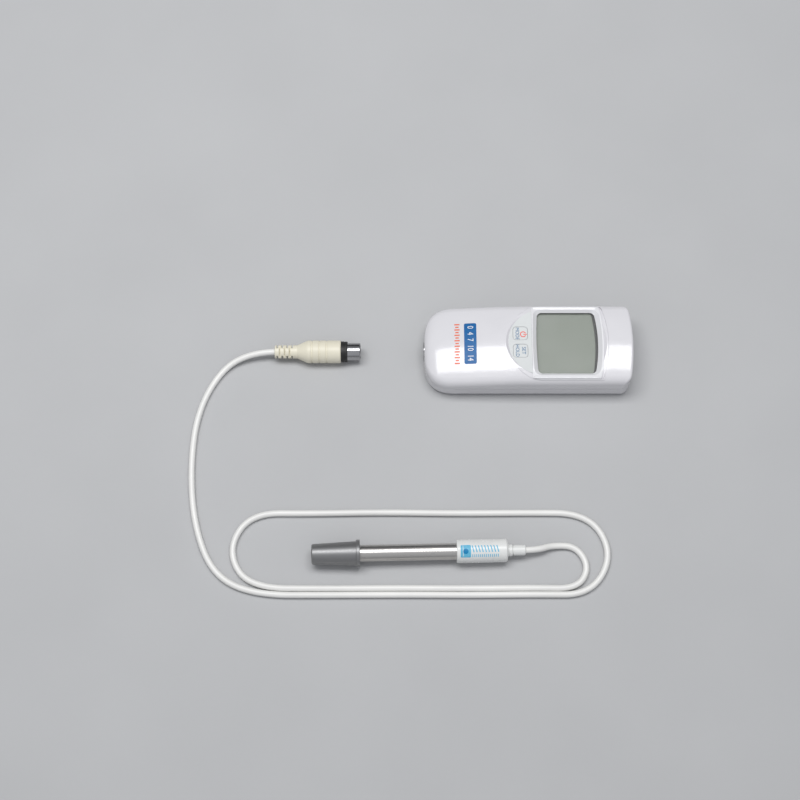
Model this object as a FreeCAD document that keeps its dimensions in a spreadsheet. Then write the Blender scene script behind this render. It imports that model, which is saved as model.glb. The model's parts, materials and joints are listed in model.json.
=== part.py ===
import FreeCAD, Part
import Sketcher
import math
import os

os.makedirs("parts", exist_ok=True)
doc = FreeCAD.newDocument("ph_meter")
V = FreeCAD.Vector

# ---------------------------------------------------------------------------
# Driving dimensions, millimetres.  Row frame: +X along the meter towards its
# display end, +Y across it, +Z up; origin at the centre of the meter's back.
# ---------------------------------------------------------------------------
DIMS = {
    # housing
    "body_half_len": 77.0, "body_half_wid": 31.5, "body_thick": 30.0, "body_thick_tail": 26.0,
    "taper_from": 0.0,
    "nose_start": -52.0, "nose_reach": 25.3, "nose_half_wid": 10.0, "nose_top": 17.2,
    "nose_bottom": 0.8, "crown_radius": 110.0, "edge_radius": 7.0, "sole_radius": 4.0,
    "end_bulge": 3.0, "end_corner": 8.0, "end_round": 1.8, "wall": 2.2, "part_line": 13.0, "seam_gap": 0.4,
    # display and keypad area
    "face_centre_x": 10.9, "face_radius": 29.3, "face_floor": 27.9, "face_rim": 3.2,
    "face_end_x": 58.6, "face_end_bulge": 4.0, "face_bevel": 1.2, "face_wall": 2.2, "face_proud": 0.35,
    "face_sink": 0.8,
    "film_thick": 0.25, "bezel_left": 2.2, "bezel_right": 52.3, "bezel_bulge": 2.9, "bezel_half": 28.9,
    "bezel_top": 28.8, "bezel_proud": 0.8, "bezel_low": 25.75, "bezel_lip": 3.0, "bezel_skirt": 2.4,
    "lcd_left": 6.6, "lcd_right": 48.6, "lcd_bulge": 2.6, "lcd_left_bulge": 0.9, "lcd_half": 24.1,
    "lcd_corner": 3.6, "window_thick": 1.2, "window_margin": 2.0, "mask_thick": 1.0, "mask_right": 3.7,
    "mask_side": 1.2, "glass_thick": 2.0, "holder_thick": 1.3,
    # keys
    "key_x": -6.3, "key_y": 6.9, "key_long": 10.8, "key_wide": 10.4, "key_round": 2.4,
    "key_gap": 0.15, "key_proud": 0.05, "key_flange": 1.0, "key_flange_gap": 0.25,
    "stem_radius": 1.8,
    # circuit board
    "board_left": -56.0, "board_right": 65.0, "board_half": 26.0, "board_low": 15.6,
    "board_thick": 1.6, "switch_side": 6.0, "switch_high": 1.1,
    # batteries, AAA cells
    "cell_radius": 5.25, "cell_len": 43.3, "cell_tip": 1.2, "cell_pitch": 11.3,
    "cell_height": 8.1, "bay_left": -43.5, "bay_right": 5.5, "bay_half": 17.6, "bay_top": 14.0,
    "bay_wall": 1.2, "cover_left": -51.5, "cover_right": 13.5, "cover_half": 25.0,
    "cover_thick": 1.8, "cover_gap": 0.25, "cover_corner": 4.0, "pad_top": 4.2,
    "gasket_wide": 2.0, "gasket_thick": 0.8,
    # screws
    "screw_head": 2.3, "screw_shank": 1.15, "boss_radius": 3.2,
    # probe socket and plug share one axis
    "axis_high": 8.5, "shell_radius": 6.6, "shell_wall": 0.6, "fit_gap": 0.35,
    "socket_wall": 0.5, "insert_radius": 5.6, "pin_radius": 0.7,
    "pin_ring": 3.5, "pin_hole": 1.05, "plug_front": -124.8, "plug_shell_len": 9.5,
    "plug_ring_len": 5.0, "plug_ring_radius": 7.8, "plug_grip_len": 25.1, "plug_grip_radius": 8.5,
    "plug_cone_len": 7.5, "relief_radius": 5.0, "relief_len": 16.8, "relief_pitch": 3.7,
    "relief_first": 3.8, "relief_slot": 1.1, "relief_core": 2.9, "relief_turn": 24.0,
    # electrode, lying on the same surface
    "electrode_y": -153.5, "electrode_turn": 1.4, "handle_radius": 8.35, "handle_left": -54.7,
    "handle_right": -18.2,
    "tube_radius": 6.0, "tube_wall": 0.5, "tip_x": -150.0, "flange_radius": 9.85,
    "cap_end": -158.4, "cap_mouth": -123.8, "cap_end_radius": 7.3, "cap_mouth_radius": 8.75,
    "flange_thick": 2.7, "cap_bore": 6.4, "sleeve_end": -5.1, "sleeve_radius": 3.8,
    "collar_radius": 4.35, "label_thick": 0.12,
    # cable
    "cable_dia": 4.6,
}
sheet = doc.addObject("Spreadsheet::Sheet", "sheet")
for row, (alias, value) in enumerate(DIMS.items(), start=1):
    sheet.set("A%d" % row, alias)
    sheet.set("B%d" % row, repr(float(value)))
    sheet.setAlias("B%d" % row, alias)
doc.recompute()


def D(name):
    """Value of one spreadsheet cell."""
    return float(getattr(sheet, name))


FINAL = []          # objects that become parts/LABEL.step


def bind(obj, prop, expr):
    obj.setExpression(prop, expr)
    return obj


def keep(obj, label):
    obj.Label = label
    FINAL.append(obj)
    return obj


def feature(name, shape, placement=None):
    """A Part::Feature with a computed shape."""
    obj = doc.addObject("Part::Feature", name)
    obj.Shape = shape
    if placement is not None:
        obj.Placement = placement
    return obj


def box(name, corner, size):
    """Part::Box with expression-bound sides; corner and size hold expressions."""
    obj = doc.addObject("Part::Box", name)
    for prop, expr in zip(("Length", "Width", "Height"), size):
        bind(obj, prop, expr)
    for axis, expr in zip("xyz", corner):
        bind(obj, "Placement.Base." + axis, expr)
    return obj


def rod(name, base, radius, length, along="x"):
    """Part::Cylinder with expression-bound radius, length and base point."""
    obj = doc.addObject("Part::Cylinder", name)
    turn = {"x": FreeCAD.Rotation(V(0, 1, 0), 90), "z": FreeCAD.Rotation()}[along]
    obj.Placement = FreeCAD.Placement(V(0, 0, 0), turn)
    bind(obj, "Radius", radius)
    bind(obj, "Height", length)
    for axis, expr in zip("xyz", base):
        bind(obj, "Placement.Base." + axis, expr)
    return obj


def joined(kind, name, items):
    """Part::MultiFuse or Part::MultiCommon of document objects."""
    obj = doc.addObject(kind, name)
    obj.Shapes = items
    return obj


def cut(name, base, tool):
    obj = doc.addObject("Part::Cut", name)
    obj.Base = base
    obj.Tool = tool
    return obj


def turned(label, profile, placement=None):
    """PartDesign body turned about X.

    profile is a list of (x, r) expression pairs, x >= 0 from the body's own
    origin and r >= 0 from its axis, going round the half section.
    """
    body = doc.addObject("PartDesign::Body", label + "_body")
    sketch = body.newObject("Sketcher::SketchObject", label + "_profile")
    plane = [f for f in body.Origin.OriginFeatures if f.Role == "XY_Plane"][0]
    sketch.AttachmentSupport = [(plane, "")]
    sketch.MapMode = "FlatFace"
    probe = doc.addObject("Part::Box", "probe")
    points = []
    for x, r in profile:
        bind(probe, "Placement.Base.x", x)
        bind(probe, "Placement.Base.y", r)
        probe.recompute()
        points.append(V(probe.Placement.Base.x, probe.Placement.Base.y, 0))
    doc.removeObject(probe.Name)
    count = len(points)
    for i in range(count):
        sketch.addGeometry(Part.LineSegment(points[i], points[(i + 1) % count]), False)
    for i in range(count):
        sketch.addConstraint(Sketcher.Constraint("Coincident", i, 2, (i + 1) % count, 1))
    for i, (x, r) in enumerate(profile):
        for kind, expr, value, axis in (("DistanceX", x, points[i].x, -2),
                                        ("DistanceY", r, points[i].y, -1)):
            if abs(value) < 1e-9:
                sketch.addConstraint(Sketcher.Constraint("PointOnObject", i, 1, axis))
                continue
            number = sketch.addConstraint(Sketcher.Constraint(kind, -1, 1, i, 1, value))
            sketch.setExpression("Constraints[%d]" % number, expr)
    turn = body.newObject("PartDesign::Revolution", label + "_turn")
    turn.Profile = sketch
    turn.ReferenceAxis = (sketch, ["H_Axis"])
    turn.Angle = 360.0
    body.Tip = turn
    if placement is not None:
        body.Placement = placement
    return body


# ---------------------------------------------------------------------------
# Housing: cross sections lofted along X, then trimmed by the plan of the ends.
# ---------------------------------------------------------------------------
def section(x, half, low, top, inset):
    """Closed cross section at x: flat sole, round lower corners, crowned top."""
    half = half - inset
    low = low + inset
    top = top - inset
    scale = half / (D("body_half_wid") - inset)
    sole = max(D("sole_radius") - inset * 0.6, 1.0) * (0.45 + 0.55 * scale)
    edge = (D("edge_radius") - inset * 0.6) * (0.35 + 0.65 * scale)
    crown = (D("crown_radius") - inset) * (0.25 + 0.75 * scale)
    # corner arc: centre at (half - edge, zc), tangent to the side and to the crown
    reach = crown - edge
    cy = half - edge
    zc = top - crown + math.sqrt(reach * reach - cy * cy)
    tilt = math.asin(cy / reach)
    meet = V(x, cy + edge * math.sin(tilt), zc + edge * math.cos(tilt))
    mid_angle = (math.pi / 2 - tilt) / 2
    mid = V(x, cy + edge * math.cos(mid_angle), zc + edge * math.sin(mid_angle))
    low_mid = sole * math.sqrt(0.5)

    def mirror(p):
        return V(p.x, -p.y, p.z)

    side = V(x, half, zc)
    foot = V(x, half, low + sole)
    toe = V(x, half - sole, low)
    heel = V(x, half - sole + low_mid, low + sole - low_mid)
    edges = [
        Part.LineSegment(mirror(toe), toe).toShape(),
        Part.Arc(toe, heel, foot).toShape(),
        Part.LineSegment(foot, side).toShape(),
        Part.Arc(side, mid, meet).toShape(),
        Part.Arc(meet, V(x, 0, top), mirror(meet)).toShape(),
        Part.Arc(mirror(meet), mirror(mid), mirror(side)).toShape(),
        Part.LineSegment(mirror(side), mirror(foot)).toShape(),
        Part.Arc(mirror(foot), mirror(heel), mirror(toe)).toShape(),
    ]
    return Part.Wire(edges)


def top_line(x):
    """Height of the crown's ridge: level over the display, lower towards the nose."""
    fall = D("body_thick") - D("body_thick_tail")
    share = (D("taper_from") - x) / (D("taper_from") - D("nose_start"))
    share = max(share, 0.0)
    return D("body_thick") - fall * share ** 1.4


def stations():
    """(x, half width, low z, top z) from the nose to where the taper starts."""
    rows = []
    least = D("nose_half_wid") / D("body_half_wid")
    full = math.acos(least ** 1.5)
    steps = 8
    for i in range(steps, 0, -1):
        angle = full * i / steps
        c = math.cos(angle) ** (2.0 / 3.0)
        x = D("nose_start") - D("nose_reach") * math.sin(angle) ** (2.0 / 3.0)
        end = max(c - least, 0.0) / (1 - least)
        top = D("nose_top") + (top_line(x) - D("nose_top")) * end ** 0.8
        rows.append((x, D("body_half_wid") * c, D("nose_bottom") * (1 - end), top))
    for x in (-50.0, -45.0, -39.0, -33.0, -27.0, -21.0, -15.0, -9.0, -3.0, 3.0, 10.0, 18.0, 27.0, 37.0,
              48.0, 60.0, 72.0, D("body_half_len") + 4.0):
        rows.append((x, D("body_half_wid"), 0.0, top_line(x)))
    return rows


def hull(inset):
    """Solid inside the housing's outer surface, moved in by inset."""
    blank = Part.makeLoft([section(*row, inset) for row in stations()], True, False, False)
    out = blank.common(plan_block(inset))
    return out.Solids[0] if len(out.Solids) == 1 else out


def eased_end(solid, radius):
    """Rounds the edges round the +X end wall."""
    end = D("body_half_len")
    bulge = D("end_bulge")
    edges = []
    for face in solid.Faces:
        u0, u1, v0, v1 = face.ParameterRange
        n = face.normalAt((u0 + u1) / 2, (v0 + v1) / 2)
        if face.CenterOfMass.x > end - bulge - 1.0 and n.x > 0.8:
            edges += [e for e in face.Edges if abs(e.Vertexes[0].Z - e.Vertexes[-1].Z) < 6.0]
    return solid.makeFillet(radius, edges)


def plan_block(inset):
    """Vertical prism whose +X end is a shallow arc with rounded corners. Inset, it leaves a nose wall too."""
    end = D("body_half_len") - inset
    half = D("body_half_wid") + 2.0
    corner_x = end - D("end_bulge")
    wire = Part.Wire([
        Part.LineSegment(V(-90, -half, -5), V(corner_x, -half, -5)).toShape(),
        Part.Arc(V(corner_x, -half, -5), V(end, 0, -5), V(corner_x, half, -5)).toShape(),
        Part.LineSegment(V(corner_x, half, -5), V(-90, half, -5)).toShape(),
        Part.LineSegment(V(-90, half, -5), V(-90, -half, -5)).toShape(),
    ])
    block = Part.Face(wire).extrude(V(0, 0, 45))
    inner = D("body_half_wid") - inset + 0.12
    start = D("nose_start") - D("nose_reach") + inset if inset > 0 else -90.0
    slab = Part.makeBox(180, 2 * inner, 45, V(start, -inner, -5))
    block = block.common(slab)
    corners = [e for e in block.Edges
               if abs(e.Vertexes[0].X - e.Vertexes[-1].X) < 1e-6
               and abs(e.Vertexes[0].Y - e.Vertexes[-1].Y) < 1e-6
               and e.Vertexes[0].X > 0]
    return block.makeFillet(max(D("end_corner") - inset, 1.5), corners)


def face_wire(z, inset, extra=0.0):
    """Outline of the display and keypad area at height z."""
    r = D("face_radius") - inset + extra
    cx = D("face_centre_x")
    end = D("face_end_x") - inset + extra
    bulge = D("face_end_bulge")
    corner = end - bulge
    return Part.Wire([
        Part.Arc(V(cx, r, z), V(cx - r, 0, z), V(cx, -r, z)).toShape(),
        Part.LineSegment(V(cx, -r, z), V(corner, -r, z)).toShape(),
        Part.Arc(V(corner, -r, z), V(end, 0, z), V(corner, r, z)).toShape(),
        Part.LineSegment(V(corner, r, z), V(cx, r, z)).toShape(),
    ])


def face_loft(z_low, inset_low, z_high, inset_high):
    return Part.makeLoft([face_wire(z_low, inset_low), face_wire(z_high, inset_high)], True, True, False)


def bowed_plate(left, right, bulge, half, corner, z_low, z_high, left_bulge=0.0):
    """Plate with a bowed right side, a straight or slightly bowed left side and round corners."""
    if left_bulge > 0:
        left_side = Part.Arc(V(left, half, z_low), V(left - left_bulge, 0, z_low), V(left, -half, z_low))
    else:
        left_side = Part.LineSegment(V(left, half, z_low), V(left, -half, z_low))
    wire = Part.Wire([
        left_side.toShape(),
        Part.LineSegment(V(left, -half, z_low), V(right, -half, z_low)).toShape(),
        Part.Arc(V(right, -half, z_low), V(right + bulge, 0, z_low), V(right, half, z_low)).toShape(),
        Part.LineSegment(V(right, half, z_low), V(left, half, z_low)).toShape(),
    ])
    plate = Part.Face(wire).extrude(V(0, 0, z_high - z_low))
    if corner <= 0:
        return plate
    upright = [e for e in plate.Edges
               if abs(e.Vertexes[0].X - e.Vertexes[-1].X) < 1e-6
               and abs(e.Vertexes[0].Y - e.Vertexes[-1].Y) < 1e-6]
    return plate.makeFillet(corner, upright)


def rounded(left, right, low_y, high_y, z_low, z_high, corner):
    block = Part.makeBox(right - left, high_y - low_y, z_high - z_low, V(left, low_y, z_low))
    upright = [e for e in block.Edges if abs(e.Vertexes[0].Z - e.Vertexes[-1].Z) > 1e-6]
    return block.makeFillet(corner, upright)


def upright_rods(points, radius, z_low, z_high):
    rods = [Part.makeCylinder(radius, z_high - z_low, V(x, y, z_low)) for x, y in points]
    return rods


outer = eased_end(hull(0.0), D("end_round"))
cavity = hull(D("wall"))
floor = D("face_floor")
face_pad = face_loft(floor - 9.0, 0.0, floor - D("face_bevel"), 0.0).fuse(
    face_loft(floor - D("face_bevel"), 0.0, floor, D("face_bevel")))
face_pad = face_pad.common(hull(-D("face_proud")))
recess = face_loft(floor, D("face_rim"), floor + 2.4, -0.2)
under_face = face_loft(floor - D("face_wall"), 0.0, floor + 3.0, 0.0)
pad_hollow = face_loft(floor - 12.0, D("wall"), floor - D("face_wall"), D("wall"))
pad_hollow = pad_hollow.common(hull(1.5))

shell = outer.fuse(face_pad).cut(recess)
cavity = cavity.cut(under_face).fuse(pad_hollow)
print("outer volume", outer.Volume, "cavity", cavity.Volume, "valid", outer.isValid(), cavity.isValid())

# openings for the window and the keys
wl = D("lcd_left") - D("window_margin")
wr = D("lcd_right") + D("window_margin")
wh = D("lcd_half") + D("window_margin")
stack_hole = bowed_plate(wl - 0.2, wr + 0.2, D("lcd_bulge"), wh + 0.2, D("lcd_corner") + 0.6,
                         20.0, D("bezel_low") - 0.05)


def display_outline(grow, z_low, z_high):
    """Prism of the display opening's outline, moved out by grow."""
    return bowed_plate(D("lcd_left") - grow, D("lcd_right") + grow, D("lcd_bulge"), D("lcd_half") + grow,
                       D("lcd_corner") + 0.3 * grow, z_low, z_high, D("lcd_left_bulge"))


# beside the bezel's bowed side the recess follows the crown down to both edges
frame_plan = bowed_plate(D("bezel_left"), D("bezel_right"), D("bezel_bulge"), D("bezel_half"), 2.0, 15.0, 40.0)
sunk = face_loft(floor - 6.0, D("face_rim") / 2, floor + 2.4, -0.2)
sunk = sunk.common(Part.makeBox(30, 57.6, 20, V(40, -28.8, 15))).cut([hull(D("face_sink")), frame_plan])

bezel_hole = display_outline(D("bezel_skirt"), D("bezel_low") - 0.1, 31.0)
key_hole = []
for sign in (1, -1):
    kx, ky = D("key_x"), sign * D("key_y")
    hl = D("key_long") / 2 + D("key_gap")
    hw = D("key_wide") / 2 + D("key_gap")
    key_hole.append(rounded(kx - hl, kx + hl, ky - hw, ky + hw, 20.0, 31.0, D("key_round") + D("key_gap")))

axis_z = D("axis_high")
socket_r = D("shell_radius") + D("fit_gap") + D("socket_wall")
socket_hole = Part.makeCylinder(socket_r + 0.1, 19.0, V(-79.0, 0, axis_z), V(1, 0, 0))

housing_screw_at = [(-62.0, 21.0), (-62.0, -21.0), (69.0, 23.5), (69.0, -23.5)]
board_screw_at = [(-51.0, 21.0), (-51.0, -21.0), (61.0, 18.0), (61.0, -18.0)]
cover_screw_at = [(-48.0, 22.0), (-48.0, -22.0), (10.0, 22.0), (10.0, -22.0)]
seam = D("seam_gap") / 2
line = D("part_line")

high = Part.makeBox(200, 100, 60, V(-100, -50, line + seam))
low = Part.makeBox(200, 100, 60, V(-100, -50, line - seam - 60))

# front half
front = shell.common(high).cut(cavity)
bosses = upright_rods(housing_screw_at, D("boss_radius"), line + seam, 28.5)
bosses += upright_rods(board_screw_at, 2.6, D("board_low") + D("board_thick") + 0.1, 28.5)
bosses = [b.common(outer) for b in bosses]
bosses = [b.cut(recess) for b in bosses]
front = front.fuse(bosses)
drill = upright_rods(housing_screw_at, D("screw_shank"), line - 1, 20.0)
drill += upright_rods(board_screw_at, 0.9, D("board_low"), 23.0)
front = front.cut(drill + [sunk, stack_hole, bezel_hole] + key_hole + [socket_hole])
keep(feature("front_half", front), "front_shell")

# rear half
rear = outer.common(low).cut(cavity)
pad = rounded(D("cover_left") - 2.5, D("cover_right") + 2.5, -27.5, 27.5, 1.0, D("pad_top"), 3.0)
bay_out = rounded(D("bay_left") - D("bay_wall"), D("bay_right") + D("bay_wall"),
                  -D("bay_half") - D("bay_wall"), D("bay_half") + D("bay_wall"),
                  1.0, D("bay_top") + D("bay_wall"), 2.5)
rear_bosses = upright_rods(housing_screw_at, D("boss_radius"), 1.0, line - seam)
rear_bosses += upright_rods(cover_screw_at, 2.7, 1.0, 8.5)
rear = rear.fuse([pad, bay_out] + rear_bosses)
bay = rounded(D("bay_left"), D("bay_right"), -D("bay_half"), D("bay_half"), -1.0, D("bay_top"), 2.0)
g = D("cover_gap")
cover_well = rounded(D("cover_left") - g, D("cover_right") + g, -D("cover_half") - g, D("cover_half") + g,
                     -1.0, D("cover_thick") + 0.1, D("cover_corner") + g)
ring_out = rounded(D("bay_left") - 1.1 - D("gasket_wide"), D("bay_right") + 1.1 + D("gasket_wide"),
                   -D("bay_half") - 1.1 - D("gasket_wide"), D("bay_half") + 1.1 + D("gasket_wide"),
                   D("cover_thick") + 0.1, D("cover_thick") + 0.1 + D("gasket_thick"), 5.5)
ring_in = rounded(D("bay_left") - 1.1, D("bay_right") + 1.1, -D("bay_half") - 1.1, D("bay_half") + 1.1,
                  D("cover_thick"), D("cover_thick") + 1 + D("gasket_thick"), 3.5)
seal_ring = ring_out.cut(ring_in)
rear_drill = upright_rods(housing_screw_at, D("screw_shank") + 0.15, -1, line + 1)
rear_drill += upright_rods(housing_screw_at, D("screw_head") + 0.25, -1, 3.0)
rear_drill += upright_rods(cover_screw_at, 0.9, -1, 7.5)
rear = rear.cut([bay, cover_well, seal_ring, socket_hole] + rear_drill)
keep(feature("rear_half", rear), "rear_shell")

# gasket in the seam between the halves
slab = Part.makeBox(200, 100, D("seam_gap"), V(-100, -50, line - seam))
band = slab.common(hull(0.45)).cut(hull(1.75)).cut(socket_hole)
band = band.cut(upright_rods(housing_screw_at, D("boss_radius") + 0.2, 0, 30))
keep(feature("seam_band", band), "housing_gasket")

# keypad film: the part of the recessed face left of the bezel
film = face_loft(floor, D("face_rim") + 0.15, floor + D("film_thick"), D("face_rim") + 0.15)
film = film.common(Part.makeBox(60, 80, 20, V(D("bezel_left") - 60.1, -40, 20)))
film = film.cut(key_hole)
keep(feature("film", film), "keypad_overlay")

# bezel: bowed frame that follows the crown at its long sides, with a slope down to the window
top = D("bezel_top")
lip = D("bezel_lip")
frame_out = bowed_plate(D("bezel_left"), D("bezel_right"), D("bezel_bulge"), D("bezel_half"), 2.0,
                        D("bezel_low"), top)
frame_out = frame_out.common(hull(-D("bezel_proud")))
frame_out = frame_out.common(face_loft(D("bezel_low") - 1, 0.2, top + 1, 0.2))


def display_wire(grow, z):
    flat = [f for f in display_outline(grow, z, z + 1).Faces if abs(f.CenterOfMass.z - z) < 1e-6][0]
    return flat.OuterWire


slope = Part.makeLoft([display_wire(0.0, D("bezel_low") + 0.3), display_wire(lip, top + 0.1)], True, True, False)
opening = display_outline(0.0, D("bezel_low") - 1, top + 1)
keep(feature("bezel", frame_out.cut([front, opening, slope])), "display_bezel")

# window, mask, display glass, holder and the contact strips below it
w_top = D("bezel_low") - 0.1
w_low = w_top - D("window_thick")
keep(feature("window", bowed_plate(wl, wr, D("lcd_bulge"), wh, D("lcd_corner") + 0.4, w_low, w_top)),
     "lcd_window")
m_top = w_low - 0.05
m_low = m_top - D("mask_thick")
mask = bowed_plate(wl, wr, D("lcd_bulge"), wh, D("lcd_corner") + 0.4, m_low, m_top)
aperture = bowed_plate(wl + D("mask_side"), wr - D("mask_right"), D("lcd_bulge"), wh - D("mask_side"),
                       D("lcd_corner") - 0.4, m_low - 1, m_top + 1)
keep(feature("mask", mask.cut(aperture)), "lcd_gasket")
g_top = m_low - 0.05
g_low = g_top - D("glass_thick")
keep(feature("panel", rounded(wl + 0.6, wr + D("lcd_bulge") - 0.8, -wh + 0.6, wh - 0.6, g_low, g_top, 0.6)),
     "lcd_glass")
h = D("holder_thick")
h_out = rounded(wl - h, wr + D("lcd_bulge") + h, -wh - h + 1.4, wh + h - 1.4,
                D("board_low") + D("board_thick") + 0.05, g_top - 0.9, 1.5)
h_in = rounded(wl + 0.3, wr + D("lcd_bulge") - 0.5, -wh + 0.3, wh - 0.3, 10, 40, 0.8)
keep(feature("holder", h_out.cut(h_in)), "lcd_holder")
strip_z = D("board_low") + D("board_thick") + 0.05
strips = [Part.makeBox(40, 2.2, g_low - 0.05 - strip_z, V(9.0, y, strip_z)) for y in (19.0, -21.2)]
keep(feature("strips", Part.makeCompound(strips)), "zebra_strips")

# keys with a flange under the face and a stem down to each switch
for sign, label in ((1, "power_key"), (-1, "set_key")):
    kx, ky = D("key_x"), sign * D("key_y")
    hl, hw = D("key_long") / 2, D("key_wide") / 2
    top_z = floor + D("film_thick") + D("key_proud")
    cap = rounded(kx - hl, kx + hl, ky - hw, ky + hw, floor - D("face_wall") - 0.6, top_z, D("key_round"))
    rim = [e for e in cap.Edges if abs(e.Vertexes[0].Z - top_z) < 1e-6 and abs(e.Vertexes[-1].Z - top_z) < 1e-6]
    cap = cap.makeFillet(0.35, rim)
    flange_top = floor - D("face_wall") - D("key_flange_gap")
    grow = 0.7
    flange = rounded(kx - hl - grow, kx + hl + grow, ky - hw - grow + 0.2, ky + hw + grow - 0.2,
                     flange_top - D("key_flange"), flange_top, D("key_round"))
    stem_low = D("board_low") + D("board_thick") + D("switch_high") + 0.85
    stem = Part.makeCylinder(D("stem_radius"), flange_top - stem_low, V(kx, ky, stem_low))
    keep(feature(label + "_solid", cap.fuse([flange, stem])), label)

# circuit board and what is on it
board = rounded(D("board_left"), D("board_right"), -D("board_half"), D("board_half"),
                D("board_low"), D("board_low") + D("board_thick"), 3.0)
board = board.cut(upright_rods(board_screw_at, 1.1, 10, 20))
keep(feature("board", board), "circuit_board")
b_top = D("board_low") + D("board_thick")
chips = [Part.makeBox(sx, sy, sz, V(x, y, b_top)) for x, y, sx, sy, sz in (
    (-34, -5, 10, 10, 1.4), (-46, 6, 5, 4, 1.2), (-46, -12, 6, 5, 1.5), (-20, -18, 3.2, 1.6, 0.9),
    (-20, 16, 3.2, 1.6, 0.9), (-28, 12, 4, 8, 2.6), (56.5, -4, 3, 8, 1.2))]
keep(feature("chips", Part.makeCompound(chips)), "board_chips")
for sign, label in ((1, "power_switch"), (-1, "set_switch")):
    half = D("switch_side") / 2
    case = Part.makeBox(2 * half, 2 * half, 0.7, V(D("key_x") - half, sign * D("key_y") - half, b_top))
    dome = Part.makeCone(2.2, 1.0, D("switch_high") - 0.7, V(D("key_x"), sign * D("key_y"), b_top + 0.7))
    keep(feature(label + "_solid", case.fuse(dome)), label)


def screws(points, head_low, head_high, head_r, shank_r, end_z):
    out = []
    for x, y in points:
        head = Part.makeCylinder(head_r, abs(head_high - head_low), V(x, y, min(head_low, head_high)))
        shank = Part.makeCylinder(shank_r, abs(end_z - head_low), V(x, y, min(end_z, head_low)))
        slot = Part.makeBox(2 * head_r - 1.2, 0.6, 0.5, V(x - head_r + 0.6, y - 0.3, head_low - 0.01))
        cross = Part.makeBox(0.6, 2 * head_r - 1.2, 0.5, V(x - 0.3, y - head_r + 0.6, head_low - 0.01))
        out.append(head.fuse(shank).cut([slot, cross]))
    return Part.makeCompound(out)


keep(feature("case_screws", screws(housing_screw_at, 1.2, 2.9, D("screw_head"), D("screw_shank") - 0.05, 19.0)),
     "housing_screws")
keep(feature("board_fixings", screws(board_screw_at, D("board_low") - 1.3, D("board_low"), 1.9, 0.85, 22.0)),
     "board_screws")

# battery compartment
for number, y in enumerate((D("cell_pitch"), 0.0, -D("cell_pitch")), start=1):
    flip = number == 2
    span = "sheet.cell_len"
    profile = [("0", "0"), ("0", "sheet.cell_radius - 0.3"), ("0.3", "sheet.cell_radius"),
               (span + " - 0.3", "sheet.cell_radius"), (span, "sheet.cell_radius - 0.3"),
               (span, "1.9"), (span + " + sheet.cell_tip", "1.9"), (span + " + sheet.cell_tip", "0")]
    turn = FreeCAD.Rotation(V(0, 0, 1), 180 if flip else 0)
    start = -41.0 if not flip else 3.0
    keep(turned("battery_%d" % number, profile,
                FreeCAD.Placement(V(start, y, D("cell_height")), turn)), "battery_%d" % number)


def leaf(x, y, direction):
    """Bent leaf spring that presses on a cell's flat end."""
    outline = [(0, -3.2), (0.3, -3.2), (1.75, 0), (0.3, 3.2), (0, 3.2), (1.45, 0)]
    points = [V(x + direction * px, y - 2.5, D("cell_height") + pz) for px, pz in outline]
    return Part.Face(Part.makePolygon(points + points[:1])).extrude(V(0, 5.0, 0))


leaves = [leaf(-42.95, D("cell_pitch"), 1), leaf(4.95, 0.0, -1), leaf(-42.95, -D("cell_pitch"), 1)]
keep(feature("leaves", Part.makeCompound(leaves)), "battery_springs")
plates = []
for y0, y1, x in ((-16.3, -6.4, -43.4), (-4.9, 16.3, -43.4), (-16.3, 4.9, 5.0), (6.4, 16.3, 5.0)):
    plates.append(Part.makeBox(0.4, y1 - y0, 8.0, V(x, y0, 4.2)))
keep(feature("plates", Part.makeCompound(plates)), "battery_contacts")
cover = rounded(D("cover_left"), D("cover_right"), -D("cover_half"), D("cover_half"),
                0.0, D("cover_thick"), D("cover_corner"))
grip = [Part.makeBox(1.2, 18, 0.5, V(x, -9, -0.01)) for x in (-46.0, -43.6, -41.2)]
cover = cover.cut(upright_rods(cover_screw_at, 1.15, -1, 5) + upright_rods(cover_screw_at, 2.2, -1, 1.0) + grip)
keep(feature("cover", cover), "battery_cover")
keep(feature("cover_seal", seal_ring), "battery_cover_gasket")
keep(feature("cover_fixings", screws(cover_screw_at, 0.15, 1.0, 2.0, 0.85, 7.2)), "battery_cover_screws")

# ---------------------------------------------------------------------------
# Probe socket in the nose
# ---------------------------------------------------------------------------
along = FreeCAD.Rotation()
nose_x = -77.3
inner_r = "(sheet.shell_radius + sheet.fit_gap)"
outer_r = "(sheet.shell_radius + sheet.fit_gap + sheet.socket_wall)"
keep(turned("socket_shell", [
    ("0", inner_r), ("0", outer_r), ("14.0", outer_r), ("14.0", inner_r)],
    FreeCAD.Placement(V(nose_x, 0, axis_z), along)), "socket_shell")
insert = turned("socket_insert_blank", [
    ("0", "0"), ("0", "sheet.insert_radius"), ("7.3", "sheet.insert_radius"), ("7.3", "0")],
    FreeCAD.Placement(V(-74.6, 0, axis_z), along))
socket_back = turned("socket_base_blank", [
    ("0", "0"), ("0", inner_r + " - 0.02"), ("5", inner_r + " - 0.02"), ("5", "0")],
    FreeCAD.Placement(V(-67.3, 0, axis_z), along))


def ring_points(radius):
    """Seven contact positions, a gap left at the key."""
    return [(radius * math.sin(math.radians(a)), radius * math.cos(math.radians(a)))
            for a in (-135, -90, -45, 0, 45, 90, 135)]


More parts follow.
